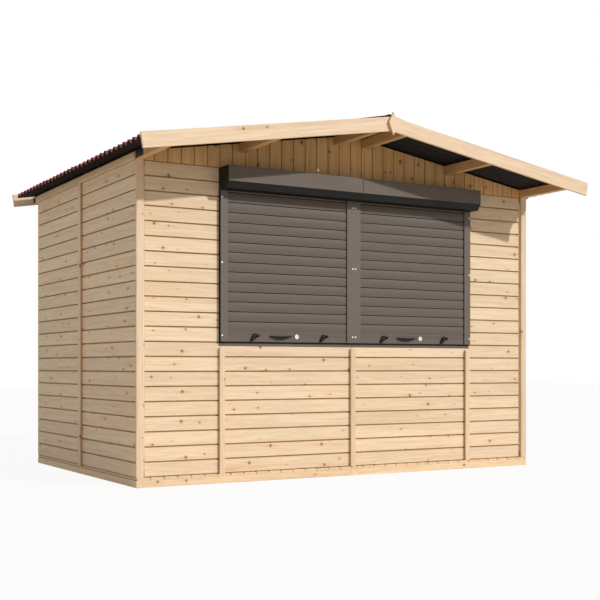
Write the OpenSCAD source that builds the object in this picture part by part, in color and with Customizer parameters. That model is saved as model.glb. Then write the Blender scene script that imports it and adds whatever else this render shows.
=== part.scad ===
// Wooden market stall with a low gable roof of corrugated sheets and two roller shutters in front.
// Millimetres. X runs to the right, Y to the rear, Z up. The front faces -Y.
// The origin is the middle of the whole footprint, on the ground.

/* [Building] */
// Width over the side walls
stall_w = 3030; // [2800:10:3300]
// Depth from the front edge of the floor to its rear edge
stall_d = 1970; // [1800:10:2200]
// Height of the wall tops above the ground
wall_top = 1950; // [1920:5:2050]
// Pitch of the roof in degrees
roof_pitch = 9.3; // [8.5:0.1:11]
// Thickness of the walls, boards and studs together
wall_t = 58; // [45:1:75]
// Thickness of corner trims, cover battens and friezes
trim_t = 18; // [14:1:22]
// Width of the corner trims
corner_trim_w = 46; // [38:1:60]
// Width of the cover battens
batten_w = 36; // [30:1:50]

/* [Base] */
// Height of the joists and cross rails under the floor
joist_h = 42; // [36:1:60]
// Width of the joists along the sides of each floor frame
joist_w = 40; // [34:1:55]
// Width of the cross rails between the joists
rail_w = 45; // [36:1:60]
// Number of cross rails in each floor frame
rail_count = 7; // [6:1:9]
// Thickness of the floor boards
floor_t = 17; // [14:1:22]
// Gap between the two floor frames
frame_gap = 1; // [0.5:0.5:3]

/* [Front] */
// Distance from each front corner to the first upright cover batten
side_bay_w = 554; // [500:2:640]
// Distance of the hatches' middle to the right of the stall's middle
front_shift = 12; // [0:1:16]
// Width of the posts beside the hatches
post_w = 40; // [34:1:50]
// Height of the top of the wall below the hatches
hatch_bottom = 847; // [780:1:900]
// Height of the panel over the hatches
header_h = 115; // [105:5:130]

/* [Gables and purlins] */
// Thickness of the gable panels
gable_t = 40; // [30:1:58]
// Width of each purlin
purlin_w = 45; // [38:1:60]
// Depth of the ridge and middle purlins, square to the slope
purlin_h = 57; // [50:1:70]
// Height of the purlins on the side walls, at their middle
eave_purlin_h = 51; // [46:1:65]
// Distance of the ridge purlins from the middle of the stall
ridge_purlin_x = 110; // [80:5:150]
// Distance of the middle purlins from the middle of the stall
mid_purlin_x = 805; // [700:5:900]
// Distance of the front bargeboards' face before the floor's front edge
front_overhang = 462; // [380:2:540]
// Distance of the rear bargeboards' face behind the floor's rear edge
rear_overhang = 136; // [120:2:200]
// Distance that the roof reaches over each side wall
side_overhang = 152; // [120:2:200]

/* [Roof] */
// Distance that the sheets reach over each side wall
sheet_overhang = 132; // [100:2:150]
// Gap between the sheets' rear ends and the rear bargeboards
sheet_rear_gap = 44; // [1:1:80]
// Pitch of the corrugations
wave_pitch = 76.5; // [70:0.5:84]
// Height of the corrugations, without the sheet's thickness
wave_h = 26; // [20:0.5:30]
// Thickness of the sheets
sheet_t = 3; // [2:0.2:4]
// Corrugations of each sheet that are not lapped
sheet_waves = 8; // [6:1:9]
// Gap left between lapped sheets
lap_gap = 0.3; // [0.2:0.1:0.6]
// Height of the bargeboards, square to the slope
barge_h = 90; // [80:1:110]
// Thickness of the bargeboards and finials
barge_t = 18; // [14:1:24]
// Half width of the ridge cap
cap_half = 230; // [180:5:270]
// Rise of the ridge cap's underside over the sheets at the ridge
cap_rise = 9; // [7:1:20]
// Outer radius of the roll along the middle of the ridge cap
cap_roll_r = 34; // [28:1:40]
// Rise of the roll's top over the peak of the wings' underside
cap_roll_rise = 7; // [5:0.5:10]
// Number of lengths in the ridge cap
cap_count = 3; // [2:1:4]
// Width of each finial
finial_w = 70; // [56:1:90]
// Height of each finial
finial_h = 145; // [130:1:160]
// Height of each finial's tip over the bargeboards' peak
finial_over = 25; // [20:1:30]

/* [Friezes and plates] */
// Height of the friezes on the side walls
frieze_h = 40; // [30:1:45]
// Length of the steel plates on the ends of the eave purlins
plate_w = 108; // [80:2:112]

/* [Roller shutters] */
// Height and depth of the shutter boxes
box_s = 137; // [130:1:150]
// Thickness of the boxes' sheet metal
box_t = 1.5; // [1:0.5:2.5]
// Cut-back of the boxes' lower front edge, horizontally
box_cut_y = 28; // [20:1:36]
// Cut-back of the boxes' lower front edge, vertically
box_cut_z = 41; // [32:1:50]
// Width of the guide rails
guide_w = 53; // [48:1:62]
// Depth of the guide rails before the wall
guide_t = 24; // [22:1:30]
// Thickness of the curtains
slat_t = 9; // [7:0.5:11]
// Height of one slat
slat_h = 61.5; // [52:0.5:66]
// Height of the bottom bars
bar_h = 63; // [54:1:70]
// Height of the black seals under the guide rails and bottom bars
seal_h = 9; // [6:0.5:12]
// Height of the flat metal sills under the seals
sill_h = 17; // [14:0.5:20]
// Width of the bow handles between their ends
handle_span = 160; // [140:1:180]
// Height of the bow handles' grips at their middle
handle_h = 17; // [14:1:22]
// Distance of the bow handles' middles left of the curtains' middles
handle_left = 60; // [30:5:80]
// Distance from the bow handles' right ends to the middles of the locks
lock_off = 36; // [30:1:44]
// Radius of the round locks
lock_r = 15; // [12:0.5:18]
// Distance from the bow handles' left ends to the first turn latches
latch_off = 108; // [80:1:120]
// Distance from the locks to the second turn latches
latch_gap = 202; // [170:2:230]

/* [Hidden] */

$fn = 48;
eps = 0.01;

WOOD = [0.90, 0.78, 0.62];
SHADE_WOOD = [0.84, 0.71, 0.54];
RED = [0.58, 0.20, 0.18];
GREY = [0.30, 0.28, 0.27];
BLACK = [0.08, 0.08, 0.08];
STEEL = [0.75, 0.75, 0.76];

// Half the width, and the front and rear edges of the floor, with the bounding box centred on Y
half_w = stall_w / 2;
front_y = front_overhang - (front_overhang + stall_d + rear_overhang) / 2;
rear_y = front_y + stall_d;
barge_front_y = front_y - front_overhang;
barge_rear_y = rear_y + rear_overhang;

// Heights of the base
floor_z = joist_h + floor_t;
frame_w = half_w - frame_gap / 2;

// Faces of the walls. Their boards start behind the trims in front and at the rear
wall_front_y = front_y + trim_t;
wall_rear_y = rear_y - trim_t;
side_mid_y = (front_y + rear_y) / 2;
bay_x = half_w - side_bay_w;

// Height of the purlins' tops at distance x from the middle
function plane_z(x) = wall_top + eave_purlin_h + (half_w - purlin_w / 2 - abs(x)) * tan(roof_pitch);

// Distance square to the slope turned into a height
function upright(n) = n / cos(roof_pitch);

// A point at distance s down the right slope and n above the purlins' tops, in X and Z
function slope_point(s, n) = [s * cos(roof_pitch) + n * sin(roof_pitch),
    plane_z(0) - s * sin(roof_pitch) + n * cos(roof_pitch)];
slope_len = (half_w + side_overhang) / cos(roof_pitch);
sheet_len = (half_w + sheet_overhang) / cos(roof_pitch);
barge_rise = barge_h - purlin_h;

// Shutters: middle of the stall, outer ends of the guides and the curtains' plane
shutter_edge_x = bay_x + 18;
box_top = wall_top - 5;
box_bottom = box_top - box_s;
box_front_y = wall_front_y - box_s;
hatch_top = wall_top - header_h;
sill_z = hatch_bottom;
seal_z = sill_z + sill_h;
guide_z = seal_z + seal_h;
curtain_y = wall_front_y - guide_t / 2;
slot_t = slat_t + 2;
guide_lip = 6;
bar_z = guide_z;
curtain_z = bar_z + bar_h;
roll_r = 42;
roll_z = box_top - box_s / 2;

// Draws its children and their mirror image on the other side of the stall
module both_sides() {
    children();
    mirror([1, 0, 0]) children();
}

// Draws its children on both sides of the hatches' middle
module beside_hatches() {
    translate([front_shift, 0, 0]) both_sides() children();
}

// A block from one corner to the opposite one
module block(low, high) {
    translate(low) cube(high - low);
}

// A flat shape in X and Z made into a board from y0 to y1
module upright_board(y0, y1) {
    translate([0, y1, 0]) rotate([90, 0, 0]) linear_extrude(height = y1 - y0) children();
}

// A flat shape in Y and Z drawn out along X from x0 to x1
module along_x(x0, x1) {
    translate([x0, 0, 0]) rotate([90, 0, 90]) linear_extrude(height = x1 - x0) children();
}

// Base
module floor_joists() {
    block([frame_gap / 2, front_y, 0], [frame_gap / 2 + joist_w, rear_y, joist_h]);
    block([half_w - joist_w, front_y, 0], [half_w, rear_y, joist_h]);
}

module floor_rails() {
    step = (stall_d - rail_w) / (rail_count - 1);
    for (i = [0 : rail_count - 1])
        translate([frame_gap / 2 + joist_w, front_y + i * step, 0])
            cube([frame_w - 2 * joist_w, rail_w, joist_h]);
}

module floor_slab() {
    block([frame_gap / 2, front_y, joist_h], [half_w, rear_y, floor_z]);
}

module left_joists() { color(WOOD) mirror([1, 0, 0]) floor_joists(); }
module right_joists() { color(WOOD) floor_joists(); }
module left_rails() { color(WOOD) mirror([1, 0, 0]) floor_rails(); }
module right_rails() { color(WOOD) floor_rails(); }
module left_floor() { color(WOOD) mirror([1, 0, 0]) floor_slab(); }
module right_floor() { color(WOOD) floor_slab(); }

// Front wall. It stands between the side walls, behind the corner trims. In front of it
// everything is placed from the hatches' middle
module front_side_panel(x0, x1) {
    color(WOOD) block([x0, wall_front_y, floor_z], [x1, wall_front_y + wall_t, wall_top]);
}

module below_hatch_panel(x0, x1) {
    color(WOOD) block([x0, wall_front_y, floor_z], [x1, wall_front_y + wall_t, hatch_bottom]);
}

module front_wall_left() { front_side_panel(wall_t - half_w, front_shift - bay_x); }
module front_wall_right() { front_side_panel(front_shift + bay_x, half_w - wall_t); }
module front_wall_below_left() { below_hatch_panel(front_shift - bay_x, front_shift); }
module front_wall_below_right() { below_hatch_panel(front_shift, front_shift + bay_x); }

module hatch_posts() {
    color(WOOD) beside_hatches()
        block([bay_x - post_w, wall_front_y, hatch_bottom], [bay_x, wall_front_y + wall_t, hatch_top]);
}

module centre_post() {
    color(WOOD) block([front_shift - post_w, wall_front_y, hatch_bottom],
        [front_shift + post_w, wall_front_y + wall_t, hatch_top]);
}

module hatch_header() {
    color(WOOD) block([front_shift - bay_x, wall_front_y, hatch_top],
        [front_shift + bay_x, wall_front_y + wall_t, wall_top]);
}

// Side and rear walls
module side_panel(y0, y1) {
    block([half_w - wall_t, y0, floor_z], [half_w, y1, wall_top]);
}

module left_wall_front() { color(WOOD) mirror([1, 0, 0]) side_panel(wall_front_y, side_mid_y); }
module left_wall_rear() { color(WOOD) mirror([1, 0, 0]) side_panel(side_mid_y, wall_rear_y); }
module right_wall_front() { color(WOOD) side_panel(wall_front_y, side_mid_y); }
module right_wall_rear() { color(WOOD) side_panel(side_mid_y, wall_rear_y); }

module rear_panel() {
    block([0, wall_rear_y - wall_t, floor_z], [half_w - wall_t, wall_rear_y, wall_top]);
}

module rear_wall_left() { color(WOOD) mirror([1, 0, 0]) rear_panel(); }
module rear_wall_right() { color(WOOD) rear_panel(); }

// Gables. Each half reaches from the middle to the purlin on the side wall,
// and is cut out for the ridge and middle purlins, which rest in the cuts
module gable_half(y0, y1) {
    inner = half_w - purlin_w;
    upright_board(y0, y1) difference() {
        polygon([[0, wall_top], [inner, wall_top], [inner, plane_z(inner)], [0, plane_z(0)]]);
        for (x = [ridge_purlin_x, mid_purlin_x])
            translate([x - purlin_w / 2, purlin_foot(x)]) square([purlin_w, 2 * purlin_h]);
    }
}

module front_gable_left() { color(SHADE_WOOD) mirror([1, 0, 0]) gable_half(wall_front_y, wall_front_y + gable_t); }
module front_gable_right() { color(SHADE_WOOD) gable_half(wall_front_y, wall_front_y + gable_t); }
module rear_gable_left() { color(SHADE_WOOD) mirror([1, 0, 0]) gable_half(wall_rear_y - gable_t, wall_rear_y); }
module rear_gable_right() { color(SHADE_WOOD) gable_half(wall_rear_y - gable_t, wall_rear_y); }

// Trims
module corner_trims() {
    color(WOOD) both_sides() {
        block([half_w - corner_trim_w, front_y, floor_z], [half_w, wall_front_y, wall_top]);
        block([half_w - corner_trim_w, wall_rear_y, floor_z], [half_w, rear_y, wall_top]);
    }
}

batten_top = hatch_bottom - 14;
module front_battens() {
    color(WOOD) for (x = [front_shift - bay_x, front_shift, front_shift + bay_x])
        block([x - batten_w / 2, front_y, floor_z], [x + batten_w / 2, wall_front_y, batten_top]);
}

module rear_battens() {
    color(WOOD) for (x = [-bay_x, 0, bay_x])
        block([x - batten_w / 2, wall_rear_y, floor_z], [x + batten_w / 2, rear_y, wall_top]);
}

frieze_z = wall_top - 7;
module side_battens() {
    color(WOOD) both_sides()
        block([half_w, side_mid_y - batten_w / 2, floor_z],
            [half_w + trim_t, side_mid_y + batten_w / 2, frieze_z]);
}

module frieze_boards() {
    color(WOOD) both_sides()
        block([half_w, front_y, frieze_z], [half_w + trim_t, rear_y, frieze_z + frieze_h]);
}

// Purlins, with their tops cut to the slope
function purlin_foot(x) = plane_z(x) - upright(purlin_h);

module purlin(x, foot) {
    x0 = x - purlin_w / 2;
    x1 = x + purlin_w / 2;
    upright_board(barge_front_y + barge_t, barge_rear_y - barge_t)
        polygon([[x0, foot], [x1, foot], [x1, plane_z(x1)], [x0, plane_z(x0)]]);
}

module ridge_purlins() { color(WOOD) both_sides() purlin(ridge_purlin_x, purlin_foot(ridge_purlin_x)); }
module middle_purlins() { color(WOOD) both_sides() purlin(mid_purlin_x, purlin_foot(mid_purlin_x)); }
module eave_purlins() { color(WOOD) both_sides() purlin(half_w - purlin_w / 2, wall_top); }

// Steel plates on the outer faces of the eave purlins, before and behind the walls
plate_t = 3;
plate_h = eave_purlin_h - 6;
module purlin_plates() {
    color(BLACK) both_sides() for (y = [front_y - plate_w, rear_y])
        translate([half_w, y, wall_top]) cube([plate_t, plate_w, plate_h]);
}

// Roof sheets. The corrugations run down the slope. Each sheet climbs by its own thickness
// across its width, so that its first corrugation laps over the last one of the sheet before
roof_y0 = barge_front_y + barge_t + 1;
roof_y1 = barge_rear_y - barge_t - sheet_rear_gap;
roof_w = roof_y1 - roof_y0;
sheet_cover = sheet_waves * wave_pitch;
sheet_count = ceil(roof_w / sheet_cover - 0.2);
wave_steps = 10;
ridge_gap = 12;
sheet_climb = sheet_t + lap_gap;

function sheet_height(y, start) = lap_gap + wave_h * (1 + cos(360 * y / wave_pitch)) / 2
    + sheet_climb * (1 + 1 / sheet_waves - (y - start) / sheet_cover);

module roof_sheet(index) {
    start = index * sheet_cover;
    end = min(start + sheet_cover + wave_pitch, roof_w);
    count = ceil((end - start) / wave_pitch * wave_steps);
    ys = [for (i = [0 : count]) start + (end - start) * i / count];
    under = [for (y = ys) [y, sheet_height(y, start)]];
    top = [for (i = [count : -1 : 0]) [ys[i], sheet_height(ys[i], start) + sheet_t]];
    translate([0, roof_y0, plane_z(0)]) rotate([0, roof_pitch, 0]) translate([ridge_gap, 0, 0])
        rotate([90, 0, 90]) linear_extrude(height = sheet_len - ridge_gap) polygon(concat(under, top));
}

module roof_slope() {
    for (i = [0 : sheet_count - 1]) roof_sheet(i);
}

module left_roof_sheets() { color(RED) mirror([1, 0, 0]) roof_slope(); }
module right_roof_sheets() { color(RED) roof_slope(); }

// Ridge cap: two flat wings and a low roll, in lengths that lap like the sheets.
// Its section is the outer shape without the same shape lowered by the thickness
cap_t = sheet_t;
cap_len = roof_w / cap_count;
cap_lap = 80;
crest_n = lap_gap + wave_h + sheet_t + sheet_climb * (1 + 1 / sheet_waves);

// Lift of the cap's lengths at distance y from the roof's front end, and its least value
// where a sheet begins, by which the cap is lowered so that it rests on the sheets
cap_climb = cap_t + lap_gap;
function cap_lift(y) = cap_climb * (1 + cap_lap / cap_len - y / cap_len + floor(y / cap_len));
cap_seat = min([for (i = [0 : sheet_count - 1]) cap_lift(i * sheet_cover)]);
cap_edge_z = plane_z(cap_half) + upright(crest_n + lap_gap) - cap_seat;
cap_peak_z = plane_z(0) + upright(crest_n) + cap_rise;
module cap_outer() {
    base_z = cap_edge_z - cap_roll_r;
    polygon([[-cap_half, base_z], [cap_half, base_z],
        [cap_half, cap_edge_z + cap_t], [0, cap_peak_z + cap_t], [-cap_half, cap_edge_z + cap_t]]);
    translate([0, cap_peak_z + cap_roll_rise - cap_roll_r]) circle(r = cap_roll_r, $fn = 64);
}

module cap_profile() {
    difference() {
        cap_outer();
        translate([0, -cap_t]) cap_outer();
    }
}

module ridge_cap() {
    color(RED) for (i = [0 : cap_count - 1]) {
        y0 = roof_y0 + i * cap_len;
        y1 = min(y0 + cap_len + cap_lap, roof_y1);
        tilt = atan(cap_climb / cap_len);
        translate([0, y0, cap_climb * (1 + cap_lap / cap_len)]) rotate([-tilt, 0, 0])
            upright_board(0, y1 - y0) cap_profile();
    }
}

// Bargeboards follow the slope, with a plumb cut at the ridge and a square cut at the eave
module bargeboard(y0) {
    peak = [0, plane_z(0) + upright(barge_rise)];
    foot = [0, plane_z(0) + upright(barge_rise - barge_h)];
    upright_board(y0, y0 + barge_t)
        polygon([foot, slope_point(slope_len, barge_rise - barge_h), slope_point(slope_len, barge_rise), peak]);
}

module front_bargeboard_left() { color(WOOD) mirror([1, 0, 0]) bargeboard(barge_front_y); }
module front_bargeboard_right() { color(WOOD) bargeboard(barge_front_y); }
module rear_bargeboard_left() { color(WOOD) mirror([1, 0, 0]) bargeboard(barge_rear_y - barge_t); }
module rear_bargeboard_right() { color(WOOD) bargeboard(barge_rear_y - barge_t); }

module finial(y0) {
    tip = plane_z(0) + upright(barge_rise) + finial_over;
    wide_z = tip - finial_h * 0.45;
    upright_board(y0, y0 + barge_t)
        polygon([[0, tip], [-finial_w / 2, wide_z], [0, tip - finial_h], [finial_w / 2, wide_z]]);
}

module finials() {
    color(WOOD) {
        finial(barge_front_y - barge_t);
        finial(barge_rear_y);
    }
}

// Shutter boxes: folded sheet metal, open at the ends, with a slot below for the curtain
slot_y0 = curtain_y - slot_t / 2;
slot_y1 = curtain_y + slot_t / 2;

module box_outline(inset) {
    y0 = box_front_y + inset;
    y1 = wall_front_y - inset;
    z0 = box_bottom + inset;
    z1 = box_top - inset;
    polygon([[y0, z0 + box_cut_z - inset / 2], [y0 + box_cut_y - inset / 2, z0], [y1, z0], [y1, z1], [y0, z1]]);
}

module shutter_box() {
    color(GREY) along_x(box_t, shutter_edge_x - box_t) difference() {
        box_outline(0);
        box_outline(box_t);
        translate([slot_y0, box_bottom - eps]) square([slot_t, box_t + 2 * eps]);
    }
}

module shutter_box_left() { translate([front_shift, 0, 0]) mirror([1, 0, 0]) shutter_box(); }
module shutter_box_right() { translate([front_shift, 0, 0]) shutter_box(); }

module shutter_end_caps() {
    color(GREY) {
        beside_hatches() along_x(shutter_edge_x - box_t, shutter_edge_x) box_outline(0);
        along_x(front_shift - box_t, front_shift + box_t) box_outline(0);
    }
}

// The slats that are rolled up, between the end caps
module shutter_rolls() {
    color(GREY) beside_hatches()
        translate([box_t, curtain_y - slat_t / 2 - roll_r, roll_z]) rotate([0, 90, 0])
            cylinder(r = roll_r, h = shutter_edge_x - 2 * box_t, $fn = 64);
}

// Guide rails: channels open towards the curtain. The middle one is two back to back
module guide_channel() {
    difference() {
        block([0, wall_front_y - guide_t, guide_z], [guide_w, wall_front_y, box_bottom]);
        block([-eps, slot_y0, guide_z - eps], [guide_w - guide_lip * 2, slot_y1, box_bottom + eps]);
    }
}

module guide_rails() {
    color(GREY) {
        beside_hatches() translate([shutter_edge_x - guide_w, 0, 0]) guide_channel();
        translate([front_shift, 0, 0]) difference() {
            block([-guide_w, wall_front_y - guide_t, guide_z], [guide_w, wall_front_y, box_bottom]);
            both_sides() block([guide_lip * 2, slot_y0, guide_z - eps], [guide_w + eps, slot_y1, box_bottom + eps]);
        }
    }
}

// Curtains: a stack of slats with rounded faces, their ends held in the guide rails
slat_hold = 18;
slat_x0 = guide_w - slat_hold;
slat_x1 = shutter_edge_x - guide_w + slat_hold;

module slat_stack() {
    count = ceil((roll_z - curtain_z) / slat_h);
    steps = 6;
    bulge = 2.5;
    rows = [for (i = [0 : count - 1]) for (k = [0 : steps]) [i, k / steps]];
    face = [for (p = rows) let (z = curtain_z + (p[0] + p[1]) * slat_h)
        if (z <= roll_z) [curtain_y - slat_t / 2 + bulge - bulge * sin(180 * p[1]), z]];
    top = face[len(face) - 1][1];
    polygon(concat(face, [[curtain_y + slat_t / 2, top], [curtain_y + slat_t / 2, curtain_z]]));
}

module shutter_curtain() {
    color(GREY) along_x(slat_x0, slat_x1) slat_stack();
}

module shutter_curtain_left() { translate([front_shift, 0, 0]) mirror([1, 0, 0]) shutter_curtain(); }
module shutter_curtain_right() { translate([front_shift, 0, 0]) shutter_curtain(); }

module bottom_bar() {
    color(GREY) block([slat_x0, curtain_y - slat_t / 2, bar_z], [slat_x1, curtain_y + slat_t / 2, curtain_z]);
}

module bottom_bar_left() { translate([front_shift, 0, 0]) mirror([1, 0, 0]) bottom_bar(); }
module bottom_bar_right() { translate([front_shift, 0, 0]) bottom_bar(); }

// Seals and sills lie flat on the wall, in two lengths each
seal_d = 9;
sill_d = 4;
module flat_strip(depth, z0, z1) {
    block([frame_gap / 2, wall_front_y - depth, z0], [shutter_edge_x, wall_front_y, z1]);
}

module shutter_seals() {
    color(BLACK) beside_hatches() flat_strip(seal_d, seal_z, guide_z);
}

module shutter_sills() {
    color(STEEL) beside_hatches() flat_strip(sill_d, sill_z, seal_z);
}

// Hardware on the bottom bars, placed from the middle of each curtain
bar_mid_z = bar_z + bar_h / 2;
bar_face_y = curtain_y - slat_t / 2;
curtain_mid_x = shutter_edge_x / 2;
handle_at = -handle_left;
lock_at = handle_at + handle_span / 2 + lock_off;
latch_at = [handle_at - handle_span / 2 - latch_off, lock_at + latch_gap];
handle_t = 16;
handle_arch = 2;

// Radius of an arc that rises by sag over the handle's span
function arc_r(sag) = (handle_span * handle_span / 4 + sag * sag) / (2 * sag);

// A crescent: the part below the flat upper arc and above the deep lower one
module bow_handle() {
    upper_r = arc_r(handle_arch);
    lower_r = arc_r(handle_h + handle_arch);
    translate([0, bar_face_y, bar_mid_z]) rotate([90, 0, 0]) linear_extrude(height = handle_t)
        translate([0, handle_h / 2]) difference() {
            translate([0, lower_r - handle_h - handle_arch]) circle(r = lower_r, $fn = 96);
            translate([0, upper_r - handle_arch]) circle(r = upper_r, $fn = 360);
            translate([-lower_r, 0]) square([2 * lower_r, 2 * lower_r]);
        }
}

module bow_handles() {
    color(BLACK) for (side = [-1, 1])
        translate([front_shift + side * curtain_mid_x + handle_at, 0, 0]) bow_handle();
}

latch_r = 13;
latch_t = 14;
latch_up = 9;
lever_len = 37;
lever_r = 8;
lever_turn = 233;
knob_r = 8.5;
knob_t = 22;
knob_at = [18, -2];
module turn_latch() {
    translate([0, bar_face_y, bar_mid_z + latch_up]) rotate([90, 0, 0]) {
        linear_extrude(height = latch_t) hull() {
            circle(r = latch_r, $fn = 32);
            rotate(lever_turn) translate([lever_len, 0]) circle(r = lever_r, $fn = 16);
        }
        translate(knob_at) cylinder(r = knob_r, h = knob_t);
    }
}

module turn_latches() {
    color(BLACK) for (side = [-1, 1], at = latch_at)
        translate([front_shift + side * curtain_mid_x + at, 0, 0]) turn_latch();
}

lock_t = 5;
lock_up = 4;
module shutter_locks() {
    color(STEEL) for (side = [-1, 1])
        translate([front_shift + side * curtain_mid_x + lock_at, bar_face_y, bar_mid_z + lock_up])
            rotate([90, 0, 0]) cylinder(r = lock_r, h = lock_t);
}

left_joists();
left_rails();
right_joists();
right_rails();
left_floor();
right_floor();
front_wall_left();
front_wall_right();
front_wall_below_left();
front_wall_below_right();
hatch_posts();
centre_post();
hatch_header();
left_wall_front();
left_wall_rear();
right_wall_front();
right_wall_rear();
rear_wall_left();
rear_wall_right();
front_gable_left();
front_gable_right();
rear_gable_left();
rear_gable_right();
corner_trims();
front_battens();
side_battens();
rear_battens();
frieze_boards();
ridge_purlins();
middle_purlins();
eave_purlins();
purlin_plates();
left_roof_sheets();
right_roof_sheets();
ridge_cap();
front_bargeboard_left();
front_bargeboard_right();
rear_bargeboard_left();
rear_bargeboard_right();
finials();
shutter_box_left();
shutter_box_right();
shutter_end_caps();
shutter_rolls();
guide_rails();
shutter_curtain_left();
shutter_curtain_right();
bottom_bar_left();
bottom_bar_right();
shutter_seals();
shutter_sills();
bow_handles();
turn_latches();
shutter_locks();
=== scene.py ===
import math
import random

import bmesh
import bpy
from mathutils import Euler, Matrix, Vector

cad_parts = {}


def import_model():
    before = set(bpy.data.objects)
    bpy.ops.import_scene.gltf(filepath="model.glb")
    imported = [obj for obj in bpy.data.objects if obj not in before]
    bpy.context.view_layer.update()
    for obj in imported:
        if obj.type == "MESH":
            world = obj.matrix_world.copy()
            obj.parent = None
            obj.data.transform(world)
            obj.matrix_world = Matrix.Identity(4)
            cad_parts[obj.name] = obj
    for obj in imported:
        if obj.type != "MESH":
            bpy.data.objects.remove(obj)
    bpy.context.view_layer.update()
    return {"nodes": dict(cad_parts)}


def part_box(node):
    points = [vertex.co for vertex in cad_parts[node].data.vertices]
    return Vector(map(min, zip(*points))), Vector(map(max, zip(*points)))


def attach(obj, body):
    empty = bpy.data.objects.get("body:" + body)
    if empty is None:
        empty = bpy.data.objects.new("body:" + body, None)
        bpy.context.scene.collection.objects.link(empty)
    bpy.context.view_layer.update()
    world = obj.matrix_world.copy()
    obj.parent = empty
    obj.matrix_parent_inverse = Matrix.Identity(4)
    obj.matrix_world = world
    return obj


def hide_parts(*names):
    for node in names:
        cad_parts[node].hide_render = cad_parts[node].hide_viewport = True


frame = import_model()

SEED = 24
rng = random.Random(SEED)

# Wall boards, in metres: each covers COVER of the wall's height
COVER = 0.09
BOARD_T = 0.016
BOARD_ROUND = 0.0022
BOARD_WANDER = 0.0005  # the most that a board lies behind the wall's face
BOARD_END_GAP = 0.0004
BOARDS_Z = 0.063  # foot of the lowest board
LEAST_BOARD = 0.004  # a lower strip of board is left out
GAP_H = 0.0085
GAP_D = 0.010
TONGUE_T = 0.002
TONGUE_H = 0.010
TONGUE_LAP = 0.002
TONGUE_PLAY = 0.0002
LIP_DROP = 0.0006  # from the next board's foot down to the gap's upper lip
STUD_W = 0.04
STUD_SPAN = 0.7  # a longer wall has a stud in its middle

# Gable boards, floor boards and trims
GABLE_BOARD = 0.087
GABLE_GAP = 0.0055
GABLE_LAP = 0.008
GABLE_LAP_GAP = 0.0006
FLOOR_BOARD = 0.088
FLOOR_V = 0.006
FLOOR_GAP = 0.003
FLOOR_REBATE = 0.005
EASE = 0.0014
TRIM_EASE = 0.0018

# Painted shade on the timber: in joints, gaps and on the backs of the trims
PAINTED_SHADE_DEPTH = 0.004
PAINTED_SHADE_EDGE = 0.001
PAINTED_SHADE_FROM = 0.6  # share of a trim's thickness, from its face

# Two places closer than this are the same
SAME = 1e-5

# Spread of the knots and the width of a growth ring
KNOT_CELL = (0.19, 0.085)
RING_W = 0.0065


def srgb(r, g, b):
    """A colour given in 0 to 255 as a linear colour with alpha."""
    def lin(c):
        c /= 255
        return c / 12.92 if c <= 0.04045 else ((c + 0.055) / 1.055) ** 2.4
    return (lin(r), lin(g), lin(b), 1.0)


# Colours inside the materials
STREAK = srgb(220, 170, 142)
KNOT_TAIL = srgb(206, 150, 110)
KNOT_RIM = srgb(192, 132, 84)
KNOT_CORE = srgb(126, 74, 50)
# Painted shade: the colour that joints, gaps and the trims' backs take for the shade in them
PAINTED_SHADE_COLOUR = srgb(172, 128, 54)
FIBRE_RED = srgb(86, 30, 26)
BITUMEN = srgb(20, 15, 14)
BITUMEN_WORN = srgb(46, 30, 26)
GROUND_SEEN = srgb(236, 234, 230)
GROUND_BOUNCE = srgb(232, 217, 192)
WHITE = (1.0, 1.0, 1.0, 1.0)
SKY = (0.93, 0.965, 1.0, 1.0)
SUN_COLOUR = (1.0, 0.965, 0.92)


# Node helpers for the materials

class Tree:
    """A material's node tree, with a short way to add a node and to link it."""

    def __init__(self, name, base, roughness, specular=0.5):
        self.mat = bpy.data.materials.new(name)
        self.mat.use_nodes = True
        self.nodes = self.mat.node_tree.nodes
        self.shader = self.nodes["Principled BSDF"]
        self.shader.inputs["Base Color"].default_value = base
        self.shader.inputs["Roughness"].default_value = roughness
        self.shader.inputs["Specular IOR Level"].default_value = specular

    def add(self, kind, inputs=None, **settings):
        node = self.nodes.new("ShaderNode" + kind)
        for key, value in settings.items():
            setattr(node, key, value)
        for key, value in (inputs or {}).items():
            self.put(node.inputs[key], value)
        return node

    def put(self, socket, value):
        if isinstance(value, bpy.types.NodeSocket):
            self.mat.node_tree.links.new(value, socket)
        else:
            socket.default_value = value

    def math(self, op, a, b=0.0):
        return self.add("Math", {0: a, 1: b}, operation=op).outputs[0]

    def times(self, a, b):
        return self.math("MULTIPLY", a, b)

    def vmath(self, op, a, b):
        return self.add("VectorMath", {0: a, 1: b}, operation=op).outputs[0]

    def length(self, vector):
        return self.add("VectorMath", {0: vector}, operation="LENGTH").outputs["Value"]

    def scaled(self, vector, x, y, z):
        return self.vmath("MULTIPLY", vector, (x, y, z))

    def mix(self, factor, a, b, blend="MIX"):
        node = self.add("Mix", data_type="RGBA", blend_type=blend)
        self.put(node.inputs[0], factor)
        self.put(node.inputs[6], a)
        self.put(node.inputs[7], b)
        return node.outputs[2]

    def noise(self, vector, scale=1.0, detail=4.0, rough=0.55):
        return self.add("TexNoise", {"Vector": vector, "Scale": scale, "Detail": detail,
                                     "Roughness": rough}).outputs["Fac"]

    def ramp(self, value, low, high, to_low=0.0, to_high=1.0):
        """A smooth step from one value to another. Low may lie above high."""
        node = self.add("MapRange", {0: value, 1: low, 2: high, 3: to_low, 4: to_high},
                        interpolation_type="SMOOTHSTEP")
        return node.outputs[0]

    def attribute(self, name):
        return self.add("Attribute", attribute_name=name)

    def position(self):
        return self.add("NewGeometry").outputs["Position"]

    def bump(self, height, strength, distance):
        node = self.add("Bump", {"Height": height, "Strength": strength, "Distance": distance})
        self.put(self.shader.inputs["Normal"], node.outputs[0])


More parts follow.
